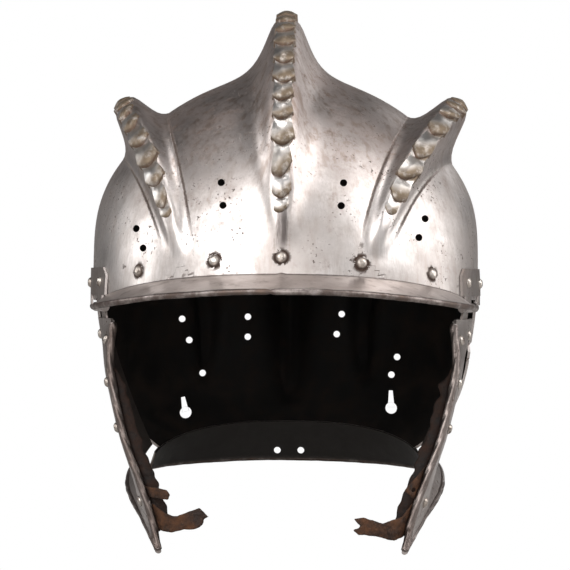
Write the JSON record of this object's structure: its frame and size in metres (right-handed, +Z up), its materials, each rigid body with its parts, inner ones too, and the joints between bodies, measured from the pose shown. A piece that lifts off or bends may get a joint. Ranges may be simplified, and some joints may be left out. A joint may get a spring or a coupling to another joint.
{
  "type": "burgonet helmet",
  "caption": "Open-faced steel combat helmet with a peak, three roped combs, a neck flange and two hinged cheekpieces with leather remains.",
  "frame": {"origin": "centre of the head opening, level with the brow", "axes": "+Z up to the combs, -Y out through the face opening under the peak, +X to the wearer's left"},
  "size_m": [0.2142, 0.2936, 0.2921],
  "materials": {
    "plate_steel": "forged and worn, dull polish with brown patina in the hollows",
    "hinge_steel": "worn, browned",
    "rivet_iron": "rusty brown iron",
    "leather": "old, dry, dark red-brown"
  },
  "bodies": {
    "skull": {"skull": "plate_steel", "brow_rivets": "rivet_iron", "brow_rivet_washers": "rivet_iron", "left_hinge_upper_leaf": "hinge_steel", "left_hinge_pin": "hinge_steel", "left_upper_leaf_rivets": "rivet_iron", "right_hinge_upper_leaf": "hinge_steel", "right_hinge_pin": "hinge_steel", "right_upper_leaf_rivets": "rivet_iron"},
    "left_cheek": {"left_cheekpiece": "plate_steel", "left_hinge_lower_leaf": "hinge_steel", "left_lower_leaf_rivets": "rivet_iron", "left_lining_rivets": "rivet_iron", "left_strap_rivet": "rivet_iron", "left_lining_strip": "leather", "left_chin_strap": "leather", "left_strap_tab": "leather"},
    "right_cheek": {"right_cheekpiece": "plate_steel", "right_hinge_lower_leaf": "hinge_steel", "right_lower_leaf_rivets": "rivet_iron", "right_lining_rivets": "rivet_iron", "right_strap_rivet": "rivet_iron", "right_lining_strip": "leather", "right_chin_strap": "leather", "right_strap_stub": "leather"}
  },
  "joints": [
    {"name": "left_cheek_hinge", "type": "hinge", "parent": "skull", "child": "left_cheek", "pos_m": [0.0989, -0.036, -0.012], "axis": [-0.2079, -0.9781, 0], "range_deg": [0, 105]},
    {"name": "right_cheek_hinge", "type": "hinge", "parent": "skull", "child": "right_cheek", "pos_m": [-0.0989, -0.036, -0.012], "axis": [-0.2079, 0.9781, 0], "range_deg": [0, 105]}
  ]
}
